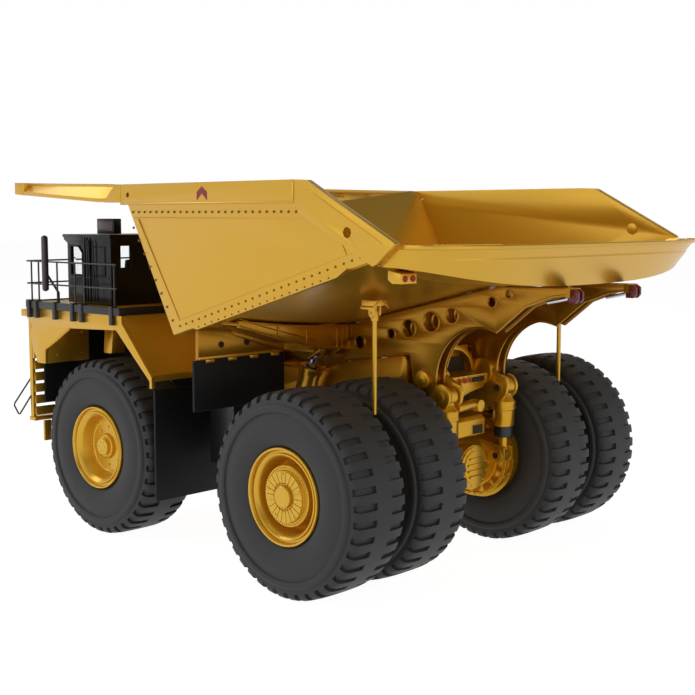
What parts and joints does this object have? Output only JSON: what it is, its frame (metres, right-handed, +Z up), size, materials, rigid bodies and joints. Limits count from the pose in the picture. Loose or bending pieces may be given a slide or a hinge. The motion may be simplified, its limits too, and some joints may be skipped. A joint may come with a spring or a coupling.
{
  "type": "scale model mining dump truck",
  "caption": "Die-cast scale model of a mining dump truck: tipping bed with canopy, steered front wheels and free-rolling twin rear wheels.",
  "frame": {"origin": "middle of the model's footprint, on the surface it stands on", "axes": "+Z up, the truck faces -Y, +X is the driver's left side with the cab"},
  "size_m": [0.193, 0.2848, 0.1612],
  "materials": {
    "yellow_paint": "semi-gloss warm yellow enamel",
    "rim_paint": "semi-gloss deeper yellow enamel",
    "black_paint": "satin black enamel",
    "dark_metal": "dark casting",
    "black_rubber": "matt black rubber sheet",
    "tyre": "matt charcoal rubber",
    "clear_plastic": "clear moulding",
    "seat_plastic": "matt dark grey",
    "bright_rod": "polished rod"
  },
  "bodies": {
    "chassis": {"frame_rails": "yellow_paint", "rear_horn": "yellow_paint", "rear_strut_left": "yellow_paint", "rear_strut_right": "yellow_paint", "rear_axle_housing": "yellow_paint", "front_axle": "yellow_paint", "engine_block": "dark_metal", "radiator": "black_paint", "bumper": "yellow_paint", "fuel_tank": "yellow_paint", "hydraulic_tank": "yellow_paint", "deck": "yellow_paint", "fender_left": "yellow_paint", "fender_right": "yellow_paint", "front_flap_left": "black_rubber", "front_flap_right": "black_rubber", "wheel_flap_left": "black_rubber", "wheel_flap_right": "black_rubber", "ladder_left": "yellow_paint", "ladder_right": "yellow_paint", "cab_shell": "black_paint", "cab_glass": "clear_plastic", "cab_seat": "seat_plastic", "roof_sign": "black_paint", "control_cabinet": "yellow_paint", "handrail_left": "black_paint", "handrail_right": "black_paint", "mirror_left": "black_paint", "mirror_right": "black_paint"},
    "bed": {"bed_floor": "yellow_paint", "bed_front_wall": "yellow_paint", "bed_tail": "yellow_paint", "canopy": "yellow_paint", "bed_side_left": "yellow_paint", "bed_side_right": "yellow_paint", "stringer_left": "yellow_paint", "stringer_right": "yellow_paint", "bolster_left": "yellow_paint", "bolster_right": "yellow_paint", "guard_flap_left": "black_rubber", "guard_flap_right": "black_rubber", "rock_ejector_left": "yellow_paint", "rock_ejector_right": "yellow_paint"},
    "steer_left": {"knuckle_left": "dark_metal"},
    "wheel_front_left": {"front_tyre_left": "tyre", "front_rim_left": "rim_paint"},
    "wheel_rear_left": {"rear_outer_tyre_left": "tyre", "rear_inner_tyre_left": "tyre", "rear_hub_left": "rim_paint"},
    "hoist_barrel_body_left": {"hoist_barrel_left": "yellow_paint"},
    "hoist_rod_body_left": {"hoist_rod_left": "bright_rod"},
    "steer_right": {"knuckle_right": "dark_metal"},
    "wheel_front_right": {"front_tyre_right": "tyre", "front_rim_right": "rim_paint"},
    "wheel_rear_right": {"rear_outer_tyre_right": "tyre", "rear_inner_tyre_right": "tyre", "rear_hub_right": "rim_paint"},
    "hoist_barrel_body_right": {"hoist_barrel_right": "yellow_paint"},
    "hoist_rod_body_right": {"hoist_rod_right": "bright_rod"}
  },
  "joints": [
    {"name": "bed_tilt", "type": "hinge", "parent": "chassis", "child": "bed", "pos_m": [0, 0.06887, 0.0794], "axis": [-1, 0, 0], "range_deg": [0, 45]},
    {"name": "steering_left", "type": "hinge", "parent": "chassis", "child": "steer_left", "pos_m": [0.064, -0.07603, 0.0403], "axis": [0, 0, 1], "range_deg": [-15, 15]},
    {"name": "spin_front_left", "type": "hinge", "parent": "steer_left", "child": "wheel_front_left", "pos_m": [0.0704, -0.07603, 0.0403], "axis": [1, 0, 0], "continuous": true},
    {"name": "spin_rear_left", "type": "hinge", "parent": "chassis", "child": "wheel_rear_left", "pos_m": [0.0623, 0.05837, 0.0403], "axis": [1, 0, 0], "continuous": true},
    {"name": "hoist_swing_left", "type": "hinge", "parent": "chassis", "child": "hoist_barrel_body_left", "pos_m": [0.034, -0.00363, 0.032], "axis": [-1, 0, 0], "range_deg": [0, 4.98]},
    {"name": "hoist_stroke_left", "type": "slide", "parent": "hoist_barrel_body_left", "child": "hoist_rod_body_left", "axis": [0, 0.3363, 0.9417], "range_m": [0, 0.04047]},
    {"name": "steering_right", "type": "hinge", "parent": "chassis", "child": "steer_right", "pos_m": [-0.064, -0.07603, 0.0403], "axis": [0, 0, 1], "range_deg": [-15, 15]},
    {"name": "spin_front_right", "type": "hinge", "parent": "steer_right", "child": "wheel_front_right", "pos_m": [-0.0704, -0.07603, 0.0403], "axis": [1, 0, 0], "continuous": true},
    {"name": "spin_rear_right", "type": "hinge", "parent": "chassis", "child": "wheel_rear_right", "pos_m": [-0.0623, 0.05837, 0.0403], "axis": [1, 0, 0], "continuous": true},
    {"name": "hoist_swing_right", "type": "hinge", "parent": "chassis", "child": "hoist_barrel_body_right", "pos_m": [-0.034, -0.00363, 0.032], "axis": [-1, 0, 0], "range_deg": [0, 4.98]},
    {"name": "hoist_stroke_right", "type": "slide", "parent": "hoist_barrel_body_right", "child": "hoist_rod_body_right", "axis": [0, 0.3363, 0.9417], "range_m": [0, 0.04047]}
  ],
  "couplings": [
    {"joint": "hoist_swing_left", "follows": "bed_tilt", "ratio": 0.10964},
    {"joint": "hoist_stroke_left", "follows": "bed_tilt", "m_per_rad": 0.051152},
    {"joint": "hoist_swing_right", "follows": "bed_tilt", "ratio": 0.10964},
    {"joint": "hoist_stroke_right", "follows": "bed_tilt", "m_per_rad": 0.051152},
    {"joint": "steering_right", "follows": "steering_left", "ratio": 1}
  ]
}
